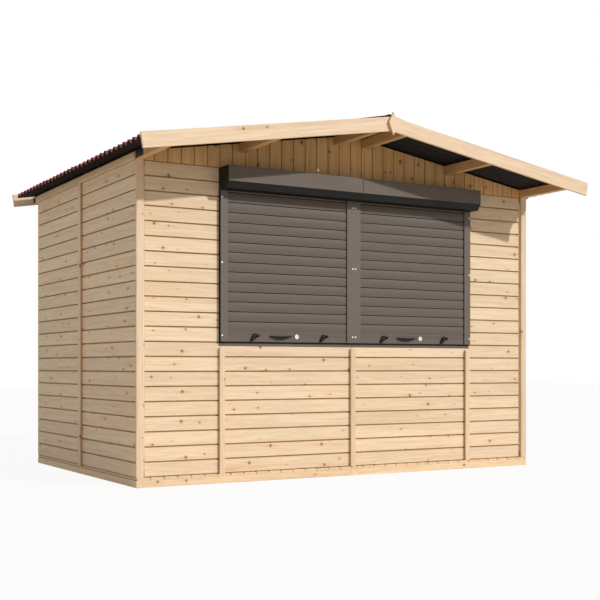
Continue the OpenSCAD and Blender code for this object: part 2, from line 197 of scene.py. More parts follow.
def pine_knots(t, grain, share, sizes):
    """At most one knot in each cell of the board's face: distance in knot radii, and three masks."""
    split = t.add("SeparateXYZ", {0: grain})
    along, girth = split.outputs[0], t.math("ADD", split.outputs[1], split.outputs[2])
    cell_l, cell_w = KNOT_CELL
    flat = t.add("CombineXYZ", {0: t.times(along, 1 / cell_l), 1: t.times(girth, 1 / cell_w)}).outputs[0]
    cells = t.add("TexVoronoi", {"Vector": flat, "Scale": 1.0, "Randomness": 0.9},
                  voronoi_dimensions="2D")
    picked = t.add("SeparateColor", {0: cells.outputs["Color"]})
    offset = t.scaled(t.vmath("SUBTRACT", flat, cells.outputs["Position"]), cell_l, cell_w, 0.0)
    wobble = t.noise(t.scaled(grain, 90.0, 90.0, 90.0), detail=2.0)
    reach = t.math("ADD", t.length(offset), t.times(wobble, 0.003))
    size = t.ramp(picked.outputs[0], 0.0, 1.0, *sizes)
    ratio = t.math("DIVIDE", reach, size)
    chosen = t.math("LESS_THAN", picked.outputs[1], share)
    core = t.times(t.ramp(ratio, 1.15, 0.7), chosen)
    rim = t.times(t.ramp(ratio, 2.4, 1.0), chosen)
    drawn_out = t.math("DIVIDE", t.length(t.scaled(offset, 0.22, 1.6, 0.0)), size)
    tail = t.times(t.ramp(drawn_out, 2.2, 0.6), chosen)
    return ratio, core, rim, tail


def pine_figure(t, grain, ratio, fibres, light, deep, streaks):
    """Colour of growth rings that run along the board and bend round the knots."""
    split = t.add("SeparateXYZ", {0: grain})
    along, across, depth = split.outputs[0], split.outputs[1], split.outputs[2]
    waver = t.noise(t.scaled(grain, 1.2, 6.0, 6.0), detail=2.0)
    bend = t.times(t.ramp(ratio, 4.5, 0.0), 0.006)
    place = t.math("ADD", t.math("ADD", across, t.times(depth, 0.7)), bend)
    place = t.math("ADD", place, t.times(waver, 0.035))
    rings = t.ramp(t.math("SINE", t.times(place, 2 * math.pi / RING_W)), -0.3, 1.0)
    lane = t.add("CombineXYZ", {0: t.times(along, 0.7), 1: t.times(place, 34.0)})
    bands = t.noise(lane.outputs[0], detail=3.0)
    streak = t.noise(t.scaled(grain, 1.5, 19.0, 19.0), detail=3.0)
    colour = t.mix(t.times(rings, 0.26), light, deep)
    colour = t.mix(t.times(t.ramp(bands, 0.42, 0.66), 0.42), colour, deep)
    colour = t.mix(t.times(t.ramp(fibres, 0.45, 0.75), 0.3), colour, deep)
    return t.mix(t.times(t.ramp(streak, 0.6, 0.76), streaks), colour, STREAK)


def pine(name, light, deep, knot_share=0.5, streaks=0.3, knot_size=(0.0035, 0.0095)):
    """Planed pine: faint grain along each board, small red-brown knots and pinkish streaks."""
    t = Tree(name, light, 0.62, specular=0.25)
    grain = t.attribute("grain").outputs["Vector"]
    ratio, core, rim, tail = pine_knots(t, grain, knot_share, knot_size)
    fibres = t.noise(t.scaled(grain, 12.0, 480.0, 480.0), detail=3.0)
    cloud = t.noise(t.scaled(grain, 4.0, 85.0, 85.0), detail=4.0, rough=0.65)
    colour = pine_figure(t, grain, ratio, fibres, light, deep, streaks)
    shade = t.ramp(t.attribute("tone").outputs["Fac"], 0.0, 1.0, 0.95, 1.03)
    shade = t.times(shade, t.ramp(cloud, 0.32, 0.68, 0.91, 1.06))
    level = t.add("CombineColor", {0: shade, 1: shade, 2: shade})
    colour = t.mix(1.0, colour, level.outputs[0], "MULTIPLY")
    colour = t.mix(t.times(tail, 0.22), colour, KNOT_TAIL)
    colour = t.mix(t.times(rim, 0.42), colour, KNOT_RIM)
    colour = t.mix(t.times(core, 0.85), colour, KNOT_CORE)
    # Painted shade where the mesh marks it: joints, gaps and the backs of trims
    painted_shade = t.attribute("painted_shade").outputs["Fac"]
    colour = t.mix(t.times(painted_shade, 0.8), colour, PAINTED_SHADE_COLOUR)
    t.put(t.shader.inputs["Base Color"], colour)
    t.put(t.shader.inputs["Roughness"], t.ramp(fibres, 0.3, 0.8, 0.54, 0.72))
    t.bump(t.math("ADD", t.times(fibres, 0.7), t.times(core, 0.5)), 0.3, 0.0005)
    return t.mat


def powder_coat(name, colour, dust, roughness=0.46, specular=0.5):
    """Powder-coated sheet or extruded aluminium: fine orange peel and a little dust."""
    t = Tree(name, colour, roughness, specular)
    where = t.position()
    peel = t.noise(where, 900.0, detail=2.0)
    smudge = t.noise(t.scaled(where, 3.0, 3.0, 6.0), detail=5.0, rough=0.6)
    speck = t.noise(where, 260.0, detail=2.0)
    tint = t.mix(t.times(t.ramp(smudge, 0.42, 0.72), 0.5), colour, dust)
    tint = t.mix(t.times(t.ramp(speck, 0.55, 0.8), 0.25), tint, dust)
    t.put(t.shader.inputs["Base Color"], tint)
    t.put(t.shader.inputs["Roughness"], t.ramp(smudge, 0.35, 0.75, roughness - 0.06, roughness + 0.12))
    t.bump(peel, 0.12, 0.0002)
    return t.mat


def bitumen(name, red, pale, black_below, red_above):
    """Fibrous bitumen sheet: a red coating on what faces up and bare black below, with the
    change between two heights of the surface's normal."""
    t = Tree(name, red, 0.75, specular=0.3)
    where = t.position()
    geometry = t.add("NewGeometry")
    facing = t.add("SeparateXYZ", {0: geometry.outputs["True Normal"]}).outputs[2]
    top = t.ramp(facing, black_below, red_above)
    fibre = t.noise(where, 340.0, detail=5.0, rough=0.7)
    wash = t.noise(t.scaled(where, 0.8, 5.0, 5.0), detail=5.0, rough=0.6)
    colour = t.mix(t.ramp(wash, 0.35, 0.75), red, pale)
    colour = t.mix(t.times(t.ramp(fibre, 0.5, 0.8), 0.5), colour, FIBRE_RED)
    black = t.mix(t.ramp(fibre, 0.4, 0.8), BITUMEN, BITUMEN_WORN)
    t.put(t.shader.inputs["Base Color"], t.mix(top, black, colour))
    t.put(t.shader.inputs["Roughness"], t.ramp(fibre, 0.3, 0.8, 0.66, 0.86))
    t.bump(fibre, 0.45, 0.0008)
    return t.mat


def plain_stuff(name, colour, other, roughness, grain=700.0, specular=0.5):
    """Black plastic, bright metal and the black and dark grey of painted shade, with a fine mottle."""
    t = Tree(name, colour, roughness, specular)
    mottle = t.noise(t.position(), grain, detail=3.0)
    t.put(t.shader.inputs["Base Color"], t.mix(t.ramp(mottle, 0.3, 0.75), colour, other))
    t.put(t.shader.inputs["Roughness"], t.ramp(mottle, 0.3, 0.8, roughness * 0.85, roughness * 1.2))
    t.bump(mottle, 0.1, 0.0002)
    return t.mat


PINE = pine("pine_boards", srgb(240, 219, 192), srgb(226, 193, 154), knot_share=0.52)
# Painted shade: the gable's pine is a warmer, deeper copy of the boards' pine, for the warm shade under
# the roof
PINE_GABLE_SHADED = pine("pine_gable", srgb(242, 202, 148), srgb(216, 160, 104), knot_share=0.6,
                  knot_size=(0.005, 0.0125))
PINE_TRIM = pine("pine_trim", srgb(235, 213, 186), srgb(222, 190, 156), knot_share=0.3)
# Painted shade: the purlins' pine is a warmer, deeper copy of the boards' pine, for their place in the
# roof's shade
PINE_PURLIN_SHADED = pine("pine_purlin", srgb(230, 190, 140), srgb(208, 156, 102), knot_share=0.2)
PINE_FRAME = pine("pine_frame", srgb(240, 216, 184), srgb(226, 190, 148), knot_share=0.2)
PINE_FLOOR = pine("pine_floor", srgb(238, 211, 176), srgb(222, 184, 138), knot_share=0.2)
ROOF = bitumen("roof_sheet", srgb(142, 52, 44), srgb(158, 72, 62), 0.12, 0.3)
# The cap is red on both faces, so its change lies below any surface's normal
CAP = bitumen("ridge_cap", srgb(128, 30, 32), srgb(142, 44, 42), -1.2, -1.1)
BOX_COAT = powder_coat("box_coat", srgb(103, 94, 87), srgb(108, 99, 92), 0.5, specular=0.25)
# Painted shade: a darker copy of the box's coat for its shaded underside and ends
SHADED_COAT = powder_coat("shaded_coat", srgb(27, 25, 24), srgb(34, 31, 29), 0.5, specular=0.2)
SLAT_COAT = powder_coat("slat_coat", srgb(101, 93, 88), srgb(110, 102, 96), 0.55, specular=0.2)
RAIL_COAT = powder_coat("rail_coat", srgb(101, 92, 87), srgb(110, 101, 96), specular=0.35)
SILL_METAL = powder_coat("sill_metal", srgb(101, 90, 87), srgb(110, 100, 96), specular=0.35)
# Painted shade: black for the slats' joints, the outer rails' sides and the line below the guides
SHADE_BLACK = plain_stuff("shade_black", srgb(12, 12, 12), srgb(24, 24, 24), 0.8, grain=420.0, specular=0.2)
BLACK = plain_stuff("black_fitting", srgb(12, 12, 12), srgb(24, 24, 24), 0.5, specular=0.2)
# Painted shade: the dark grey of the plates on the purlins' outer faces
PURLIN_SHADE = plain_stuff("purlin_shade", srgb(30, 33, 36), srgb(44, 48, 52), 0.5)
DARK_HOLE = plain_stuff("keyhole_dark", srgb(50, 50, 52), srgb(70, 70, 72), 0.5)
BRIGHT = plain_stuff("bright_metal", srgb(246, 246, 246), srgb(232, 232, 234), 0.35)


# Mesh helpers

def arc_points(cx, cz, radius, start, sweep, steps):
    """Points along an arc in the upright plane across the stall."""
    angles = [start + sweep * k / steps for k in range(steps + 1)]
    return [(cx + radius * math.cos(a), cz + radius * math.sin(a)) for a in angles]


class Mesh:
    """One piece in the making: solids are added to it one by one, each with its own grain."""

    def __init__(self, name):
        self.name = name
        self.bm = bmesh.new()
        self.grain = self.bm.verts.layers.float_vector.new("grain")
        self.tone = self.bm.verts.layers.float.new("tone")
        # Painted shade: 1 where the timber is darkened for the shade that falls there
        self.painted_shade = self.bm.verts.layers.float.new("painted_shade")

    def mark(self, verts, along=0, slope=0.0):
        """Gives new vertices their grain coordinates, along one axis, and the board's own tone.
        The slope turns the grain of a roof timber in the upright plane across the stall."""
        shift = Vector([rng.uniform(0, 60) for _ in range(3)])
        tone = rng.random()
        turn = Matrix.Rotation(slope, 3, "Y")
        for v in verts:
            co = turn @ v.co
            v[self.grain] = Vector((co[along], co[(along + 1) % 3], co[(along + 2) % 3])) + shift
            v[self.tone] = tone

    def prism(self, outline, axis, a0, a1, along=None, ease=0.0, segments=1, slope=0.0):
        """An outline in the other two axes, drawn out along axis from a0 to a1."""
        u, w = [i for i in range(3) if i != axis]
        rings = []
        for a in (a0, a1):
            ring = []
            for p in outline:
                co = [0.0, 0.0, 0.0]
                co[axis], co[u], co[w] = a, p[0], p[1]
                ring.append(self.bm.verts.new(co))
            rings.append(ring)
        n = len(outline)
        faces = [self.bm.faces.new(rings[0]), self.bm.faces.new(rings[1][::-1])]
        for i in range(n):
            j = (i + 1) % n
            faces.append(self.bm.faces.new([rings[0][j], rings[0][i], rings[1][i], rings[1][j]]))
        bmesh.ops.recalc_face_normals(self.bm, faces=faces)
        verts = rings[0] + rings[1]
        if ease:
            edges = {e for f in faces for e in f.edges if e.calc_face_angle(0) > 0.5}
            made = bmesh.ops.bevel(self.bm, geom=list(edges), offset=ease, segments=segments,
                                   affect="EDGES", profile=0.5, clamp_overlap=True)
            kept = {v for f in faces if f.is_valid for v in f.verts}
            verts = list(kept | set(made["verts"]))
        self.mark(verts, axis if along is None else along, slope)
        return verts

    def block(self, low, high, along=0, ease=EASE, segments=1):
        """A timber from one corner to the other, with eased edges."""
        return self.prism([(low[1], low[2]), (high[1], low[2]), (high[1], high[2]), (low[1], high[2])],
                          0, low[0], high[0], along=along, ease=ease, segments=segments)

    def disc(self, centre, radius, depth, steps=24, ease=0.0):
        """A short round bar that stands out to the front from its centre."""
        x, y, z = centre
        ring = arc_points(x, z, radius, 0.0, 2 * math.pi, steps)[:-1]
        return self.prism(ring, 1, y - depth, y, ease=ease, segments=2)

    def done(self, material, nodes=(), smooth=None):
        """Makes the object, gives it its finish and its body, and hides the nodes that it stands for."""
        mesh = bpy.data.meshes.new(self.name)
        self.bm.normal_update()
        self.bm.to_mesh(mesh)
        self.bm.free()
        piece = bpy.data.objects.new(self.name, mesh)
        bpy.context.scene.collection.objects.link(piece)
        mesh.materials.append(material)
        if smooth:
            for face in mesh.polygons:
                face.use_smooth = True
            mesh.set_sharp_from_angle(angle=math.radians(smooth))
        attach(piece, "root")
        if nodes:
            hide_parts(*nodes)
        return piece


def rounded(points, radius, steps=4):
    """A polygon with its corners rounded by arcs."""
    out = []
    n = len(points)
    for i in range(n):
        p, a, b = Vector(points[i]), Vector(points[i - 1]), Vector(points[(i + 1) % n])
        da, db = (a - p).normalized(), (b - p).normalized()
        half = da.angle(db) / 2
        cut = min(radius / math.tan(half), (a - p).length * 0.45, (b - p).length * 0.45)
        centre = p + (da + db).normalized() * (cut / math.cos(half))
        start, end = p + da * cut - centre, p + db * cut - centre
        turn = start.angle_signed(end)
        for k in range(steps + 1):
            angle = -turn * k / steps
            c, s = math.cos(angle), math.sin(angle)
            out.append((centre.x + start.x * c - start.y * s, centre.y + start.x * s + start.y * c))
    return out


def give(node, material):
    """Puts a finish on a node of the frame that stays as it is."""
    data = frame["nodes"][node].data
    data.materials.clear()
    data.materials.append(material)


def corners_xz(node):
    """The places of a node's corners in the upright plane across the stall."""
    vertices = frame["nodes"][node].data.vertices
    return {tuple(round(c, 5) for c in (v.co.x, v.co.z)) for v in vertices}


WALL_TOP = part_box("left_wall_front")[1].z
COURSES = math.ceil((WALL_TOP - BOARDS_Z) / COVER)


# Boarded walls

def board_outline(z0, z1, inside):
    """A shiplap board's outline as depth behind the wall's face and height, from its own lower
    edge to the next board's. Below that edge lies a gap, and a thin tongue laps behind it."""
    r = BOARD_ROUND
    turns = (0.0, 0.5, 1.0, math.pi / 2)
    lower = [(r * (1 - math.sin(a)), z0 + r * (1 - math.cos(a))) for a in turns]
    upper = [(r * (1 - math.cos(a)), z1 - GAP_H - r * (1 - math.sin(a))) for a in turns]
    lip = z1 - LIP_DROP
    back = BOARD_T - TONGUE_T
    tongue = back + TONGUE_PLAY
    seat = z0 + TONGUE_H + TONGUE_LAP
    tail = [(GAP_D, z1 - GAP_H), (GAP_D, lip), (tongue, lip), (tongue, z1 + TONGUE_H),
            (BOARD_T, z1 + TONGUE_H), (BOARD_T, seat), (back, seat), (back, z0)]
    front = back - 0.001
    return [(d + inside if d < front else d, z) for d, z in lower + upper + tail]


def without_doubles(outline, least):
    """An outline without the points that lie closer than least to the one before."""
    pairs = zip(outline, outline[-1:] + outline[:-1])
    return [p for p, before in pairs if (Vector(p) - Vector(before)).length > least]


def cut_between(outline, bottom, top):
    """The part of an outline between two heights."""
    for limit, sign in ((bottom, 1), (top, -1)):
        kept = []
        for i, q in enumerate(outline):
            p = outline[i - 1]
            p_in, q_in = sign * (p[1] - limit) >= 0, sign * (q[1] - limit) >= 0
            if p_in != q_in:
                share = (limit - p[1]) / (q[1] - p[1])
                kept.append((p[0] + (q[0] - p[0]) * share, limit))
            if q_in:
                kept.append(q)
        outline = kept
    return without_doubles(outline, SAME)


def framing(m, low, high, run, face, depths):
    """Studs and plates behind a wall's boards. The plates of the side walls carry painted shade."""
    def timber(start, end, z0, z1, along):
        a, b = [0.0] * 3, [0.0] * 3
        a[run], a[face], a[2] = start, depths[0], z0
        b[run], b[face], b[2] = end, depths[1], z1
        return m.block(a, b, along=along)

    studs = [low[run], high[run] - STUD_W]
    if high[run] - low[run] > STUD_SPAN:
        studs.append((low[run] + high[run] - STUD_W) / 2)
    if high.z - low.z > 3 * STUD_W:
        for s in studs:
            timber(s, s + STUD_W, low.z + STUD_W, high.z - STUD_W, 2)
    for z in (low.z, high.z - STUD_W):
        # Painted shade on the side walls' plates, seen in the gap under the lowest board
        for v in timber(low[run], high[run], z, z + STUD_W, run):
            v[m.painted_shade] = 1.0 if face == 0 else 0.0


def boarded_wall(node, run, face, sign):
    """Shiplap boards and studs in place of a wall slab. run is the axis along the boards, face the
    axis through the wall and sign the way that its outer face looks."""
    low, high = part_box(node)
    m = Mesh(node + "_boards")
    outer = high[face] if sign > 0 else low[face]
    for k in range(COURSES):
        z0 = BOARDS_Z + k * COVER
        z1 = z0 + COVER
        bottom, top = max(low.z, z0), min(high.z, z1 + TONGUE_H)
        if min(high.z, z1) - bottom < LEAST_BOARD:
            continue
        outline = cut_between(board_outline(z0, z1, rng.uniform(0.0, BOARD_WANDER)), bottom, top)
        verts = m.prism([(outer - sign * d, z) for d, z in outline], run,
                        low[run] + BOARD_END_GAP, high[run] - BOARD_END_GAP)
        for v in verts:
            # Painted shade in the gap and on the tongue behind the board's face
            v[m.painted_shade] = 1.0 if abs(v.co[face] - outer) > PAINTED_SHADE_DEPTH else 0.0
    inner = outer - sign * BOARD_T
    far = low[face] if sign > 0 else high[face]
    framing(m, low, high, run, face, (min(inner, far), max(inner, far)))
    return m.done(PINE, [node])


for node in ("front_wall_left", "front_wall_right", "front_wall_below_left", "front_wall_below_right",
             "hatch_header"):
    boarded_wall(node, 0, 1, -1)
for node in ("rear_wall_left", "rear_wall_right"):
    boarded_wall(node, 0, 1, 1)
for side, sign in (("left", -1), ("right", 1)):
    for end in ("front", "rear"):
        boarded_wall(f"{side}_wall_{end}", 1, 0, sign)


# Plain timbers: the same boxes as the frame's, with eased edges and their own grain

def neighbours(mesh):
    """For each vertex of a mesh, those that share an edge or a place with it."""
    links = {v.index: [] for v in mesh.vertices}
    where = {}
    for e in mesh.edges:
        a, b = e.vertices
        links[a].append(b)
        links[b].append(a)
    for v in mesh.vertices:
        where.setdefault(tuple(round(c, 5) for c in v.co), []).append(v.index)
    for first, *others in where.values():
        for other in others:
            links[first].append(other)
            links[other].append(first)
    return links


def reached(start, links, seen):
    """All vertices that links join to the first, which are then seen."""
    stack, found = [start], []
    seen.add(start)
    while stack:
        i = stack.pop()
        found.append(i)
        fresh = [j for j in links[i] if j not in seen]
        seen.update(fresh)
        stack += dict.fromkeys(fresh)
    return found


def solids_of(node):
    """The boxes of a node's separate solids, sorted, as pairs of corners."""
    mesh = frame["nodes"][node].data
    links = neighbours(mesh)
    seen, boxes = set(), []
    for v in mesh.vertices:
        if v.index not in seen:
            places = [mesh.vertices[i].co for i in reached(v.index, links, seen)]
            low = Vector([min(c[k] for c in places) for k in range(3)])
            high = Vector([max(c[k] for c in places) for k in range(3)])
            boxes.append((low, high))
    return sorted(boxes, key=lambda box: tuple(box[0]))


def timbers(node, along, material, ease=EASE, shade_axis=None):
    """One block for each solid of a node. With a shade axis, its back along that axis, towards its wall,
    takes painted shade.
    """
    m = Mesh(node + "_timber")
    for low, high in solids_of(node):
        verts = m.block(low, high, along=along, ease=ease, segments=2)
        if shade_axis is not None:
            a, b = low[shade_axis], high[shade_axis]
            for v in verts:
                inward = (v.co[shade_axis] - a, b - v.co[shade_axis])[a > 0]
                v[m.painted_shade] = 1.0 if inward > (b - a) * PAINTED_SHADE_FROM else 0.0
    return m.done(material, [node])


for side in ("left", "right"):
    timbers(side + "_joists", 1, PINE_FRAME)
    timbers(side + "_rails", 0, PINE_FRAME)
timbers("corner_trims", 2, PINE_TRIM, ease=TRIM_EASE)
# Painted shade on the battens' and friezes' sides and undersides towards the wall
for node in ("front_battens", "rear_battens"):
    timbers(node, 2, PINE_TRIM, ease=TRIM_EASE, shade_axis=1)
timbers("side_battens", 2, PINE_TRIM, ease=TRIM_EASE, shade_axis=0)
timbers("frieze_boards", 1, PINE_TRIM, ease=TRIM_EASE, shade_axis=0)
for node in ("hatch_posts", "centre_post"):
    timbers(node, 2, PINE)


def floor_outline(x0, x1, z0, z1, edge):
    """A floor board's outline. Its lower corner is cut back on the side that edge names, if any."""
    foot = [(x0, z0), (x1, z0)]
    if edge:
        x, z = (x0, x1)[edge > 0], z0 + FLOOR_REBATE
        inner = x - edge * FLOOR_REBATE
        cut = [(inner, z0), (inner, z), (x, z), (x, z + PAINTED_SHADE_EDGE)]
        foot = foot[:1] + cut if edge > 0 else cut[::-1] + foot[1:]
    return foot + [(x1, z1 - FLOOR_V), (x1 - FLOOR_V, z1), (x0 + FLOOR_V, z1), (x0, z1 - FLOOR_V)]


def floor_boards(node, side):
    """Floor boards from front to rear, with narrow gaps and V joints along their tops."""
    low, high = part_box(node)
    m = Mesh(node + "_boards")
    count = round((high.x - low.x) / FLOOR_BOARD)
    width = (high.x - low.x) / count
    outermost = count - 1 if side > 0 else 0
    for i in range(count):
        x0 = low.x + i * width + FLOOR_GAP / 2
        x1 = low.x + (i + 1) * width - FLOOR_GAP / 2
        edge = side if i == outermost else 0
        verts = m.prism(floor_outline(x0, x1, low.z, high.z, edge), 1, low.y, high.y, ease=0.0006)
        # Painted shade in the rebate under the outermost board's edge
        mid_x = (x0, x1)[edge > 0] - edge * FLOOR_REBATE / 2
        top_z = low.z + FLOOR_REBATE + PAINTED_SHADE_EDGE / 2
        for v in verts:
            near = abs(v.co.x - mid_x) < FLOOR_REBATE * 0.6 and v.co.z < top_z
            v[m.painted_shade] = 1.0 if edge and near else 0.0
    return m.done(PINE_FLOOR, [node])


floor_boards("left_floor", -1)
floor_boards("right_floor", 1)


# Gables, roof timbers and bargeboards

gable_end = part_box("front_gable_right")[1]
ROOF_PEAK = gable_end.z
SLOPE = (ROOF_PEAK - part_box("eave_purlins")[1].z) / gable_end.x
PITCH = math.atan(SLOPE)


def plane_z(x):
    """Height of the purlins' tops."""
    return ROOF_PEAK - abs(x) * SLOPE


def purlin_boxes():
    """Left face, right face and foot of each purlin that passes through the gables."""
    found = []
    for node in ("ridge_purlins", "middle_purlins"):
        for low, high in solids_of(node):
            found.append((low.x, high.x, low.z))
    return sorted(found)


PURLINS = purlin_boxes()


def upright(x0, x1, foot_z):
    """Outline of a gable board, cut to the slope and notched for the purlins."""
    stops = [x0, x1]
    for a, b, foot in PURLINS:
        stops += [x for x in (a, b) if x0 < x < x1]
    stops = sorted(stops)
    top = []
    for a, b in zip(stops, stops[1:]):
        mid = (a + b) / 2
        feet = [foot for p, q, foot in PURLINS if p < mid < q]
        if feet:
            top += [(a, feet[0]), (b, feet[0])]
        else:
            top += [(a, plane_z(a)), (b, plane_z(b))]
    outline = [(x0, foot_z), (x1, foot_z)] + top[::-1]
    return without_doubles(outline, 0.0002)


def gable_boards(node, sign):
    """Upright boards set out from the stall's middle, with narrow gaps that a lap closes behind."""
    low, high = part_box(node)
    m = Mesh(node + "_boards")
    outer, inner = (low.y, high.y) if sign < 0 else (high.y, low.y)
    lap_y, back_y = outer - sign * GABLE_LAP, outer - sign * BOARD_T
    side = 1 if high.x > -low.x else -1
    reach = max(high.x, -low.x)
    for i in range(math.ceil(reach / GABLE_BOARD)):
        near, far = i * GABLE_BOARD, min((i + 1) * GABLE_BOARD, reach)
        x0, x1 = sorted((side * near, side * far))
        face = upright(x0 + GABLE_GAP / 2, x1 - GABLE_GAP / 2, low.z)
        m.prism(face, 1, min(outer, lap_y), max(outer, lap_y), along=2, ease=TRIM_EASE)
        lap = upright(x0 + GABLE_LAP_GAP / 2, x1 - GABLE_LAP_GAP / 2, low.z)
        # Painted shade on the lap seen through the gaps between boards
        for v in m.prism(lap, 1, min(lap_y, back_y), max(lap_y, back_y), along=2):
            v[m.painted_shade] = 1.0
    m.block((low.x, min(back_y, inner), low.z), (high.x, max(back_y, inner), low.z + STUD_W), along=0)
    return m.done(PINE_GABLE_SHADED, [node])


for side in ("left", "right"):
    gable_boards("front_gable_" + side, -1)
    gable_boards("rear_gable_" + side, 1)


def purlins(node):
    """Purlins with their tops cut to the slope."""
    m = Mesh(node + "_timber")
    for low, high in solids_of(node):
        outline = [(low.x, low.z), (high.x, low.z), (high.x, plane_z(high.x)), (low.x, plane_z(low.x))]
        m.prism(outline, 1, low.y, high.y, along=1, ease=EASE, segments=2)
    return m.done(PINE_PURLIN_SHADED, [node])


for node in ("ridge_purlins", "middle_purlins", "eave_purlins"):
    purlins(node)


def bargeboard(node, side):
    """A board along the slope, plumb at the ridge and square at the eave."""
    low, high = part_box(node)
    m = Mesh(node + "_timber")
    corners = sorted(corners_xz(node), key=lambda p: p[1])
    ridge = [p for p in corners if abs(p[0]) < 10 * SAME]
    eave = [p for p in corners if abs(p[0]) > 10 * SAME]
    outline = [ridge[0], eave[0], eave[1], ridge[1]]
    slope = -PITCH if side == "right" else PITCH
    m.prism(outline, 1, low.y, high.y, along=0, ease=TRIM_EASE, segments=2, slope=slope)
    return m.done(PINE_TRIM, [node])


for end in ("front", "rear"):
    for side in ("left", "right"):
        bargeboard(f"{end}_bargeboard_{side}", side)


def finials():
    """Kite-shaped boards over the bargeboards' meeting, with painted shade towards their backs."""
    m = Mesh("finial_boards")
    corners = corners_xz("finials")
    tip, foot = max(corners, key=lambda p: p[1]), min(corners, key=lambda p: p[1])
    outline = [tip, min(corners), foot, max(corners)]
    for low, high in solids_of("finials"):
        back = high.y if low.y < 0 else low.y
        for v in m.prism(outline, 1, low.y, high.y, along=2, ease=0.0012, segments=2):
            v[m.painted_shade] = 1.0 if abs(v.co.y - back) < PAINTED_SHADE_DEPTH else 0.0
    return m.done(PINE_TRIM, ["finials"])


finials()


# Corrugated sheets

WAVE_PITCH = 0.0765
WAVE_H = 0.026
SHEET_T = 0.003
LAP_GAP = 0.0003
SHEET_WAVES = 8
WAVE_STEPS = 20
CLIMB = SHEET_T + LAP_GAP
RIDGE_GAP = 0.012
sheets_low, sheets_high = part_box("right_roof_sheets")
roof_y0 = sheets_low.y
roof_w = sheets_high.y - roof_y0
sheet_cover = SHEET_WAVES * WAVE_PITCH
sheet_count = math.ceil(roof_w / sheet_cover - 0.2)
highest = LAP_GAP + WAVE_H + SHEET_T + CLIMB * (1 + 1 / SHEET_WAVES)
sheet_end = (sheets_high.x - highest * math.sin(PITCH)) / math.cos(PITCH)


def wave(y, start):
    """Height of a sheet's underside above the purlins."""
    return (LAP_GAP + WAVE_H * (1 + math.cos(2 * math.pi * y / WAVE_PITCH)) / 2
            + CLIMB * (1 + 1 / SHEET_WAVES - (y - start) / sheet_cover))


def sheet_edge(m, sign, s, ys, start):
    """The corners of a sheet's section at distance s down the slope: its underside, then its top."""
    cos_p, sin_p = math.cos(PITCH), math.sin(PITCH)
    heights = [wave(y, start) for y in ys]
    heights += [h + SHEET_T for h in reversed(heights)]
    row = []
    for y, n in zip(ys + ys[::-1], heights):
        x = s * cos_p + n * sin_p
        z = ROOF_PEAK - s * sin_p + n * cos_p
        row.append(m.bm.verts.new((sign * x, roof_y0 + y, z)))
    return row


def roof_sheets(side, sign):
    """Lapped sheets on one slope, each with its ends and edges closed."""
    m = Mesh(side + "_sheets")
    for index in range(sheet_count):
        start = index * sheet_cover
        end = min(start + sheet_cover + WAVE_PITCH, roof_w)
        count = round((end - start) / WAVE_PITCH * WAVE_STEPS)
        ys = [start + (end - start) * i / count for i in range(count + 1)]
        rows = [sheet_edge(m, sign, s, ys, start) for s in (RIDGE_GAP, sheet_end)]
        n = len(rows[0])
        faces = []
        for i in range(n):
            j = (i + 1) % n
            faces.append(m.bm.faces.new([rows[0][i], rows[0][j], rows[1][j], rows[1][i]]))
        for row in rows:
            for i in range(count):
                faces.append(m.bm.faces.new([row[i], row[i + 1], row[n - 2 - i], row[n - 1 - i]]))
        bmesh.ops.recalc_face_normals(m.bm, faces=faces)
        m.mark([v for row in rows for v in row])
    return m.done(ROOF, [side + "_roof_sheets"], smooth=40)


roof_sheets("left", -1)
roof_sheets("right", 1)
give("ridge_cap", CAP)


# Roller shutters

BOX_CUT_Y = 0.028
BOX_CUT_Z = 0.041
CAP_LINE = 0.0003
NEAR_MIDDLE = 0.1


def extruded(name, outline, low, high, material, node, smooth=35):
    """A piece with one section from its left end to its right end."""
    m = Mesh(name)
    m.prism(outline, 0, low.x, high.x)
    return m.done(material, [node], smooth=smooth)


def darken(piece, material, picked):
    """Gives the darker material, which is painted shade, to the faces that the function picks."""
    piece.data.materials.append(material)
    for face in piece.data.polygons:
        if picked(face):
            face.material_index = 1


def box_outline(low, high, radius):
    """Section of a shutter box, with its lower front edge cut back."""
    corners = [(low.y, low.z + BOX_CUT_Z), (low.y + BOX_CUT_Y, low.z), (high.y, low.z),
               (high.y, high.z), (low.y, high.z)]
    return rounded(corners, radius)


def shutter_box(side):
    """Folded metal box with softly rounded edges."""
    node = "shutter_box_" + side
    low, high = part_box(node)
    skin = extruded(node + "_skin", box_outline(low, high, 0.0025), low, high, BOX_COAT,
                    node, smooth=None)
    # Painted shade: the faces that look down take the darker coat
    darken(skin, SHADED_COAT, lambda face: face.normal.z < -0.3)


def end_caps():
    """Cast ends of the boxes. The one in the middle is two caps with a fine line between them."""
    m = Mesh("end_cap_plates")
    for low, high in solids_of("shutter_end_caps"):
        outline = box_outline(low, high, 0.003)
        mid = (low.x + high.x) / 2
        if abs(mid) < NEAR_MIDDLE:
            m.prism(outline, 0, low.x, mid - CAP_LINE, ease=0.0004)
            m.prism(outline, 0, mid + CAP_LINE, high.x, ease=0.0004)
        else:
            m.prism(outline, 0, low.x, high.x, ease=0.0004)
    # Painted shade: the ends take the darker coat, for the shade on them
    m.done(SHADED_COAT, ["shutter_end_caps"], smooth=35)


shutter_box("left")
shutter_box("right")
end_caps()

SLAT_H = 0.0615
SLAT_BULGE = 0.0026
GROOVE = 0.0046
GROOVE_D = 0.0042
GROOVE_SLANT = 0.0002
SLAT_STEPS = 12


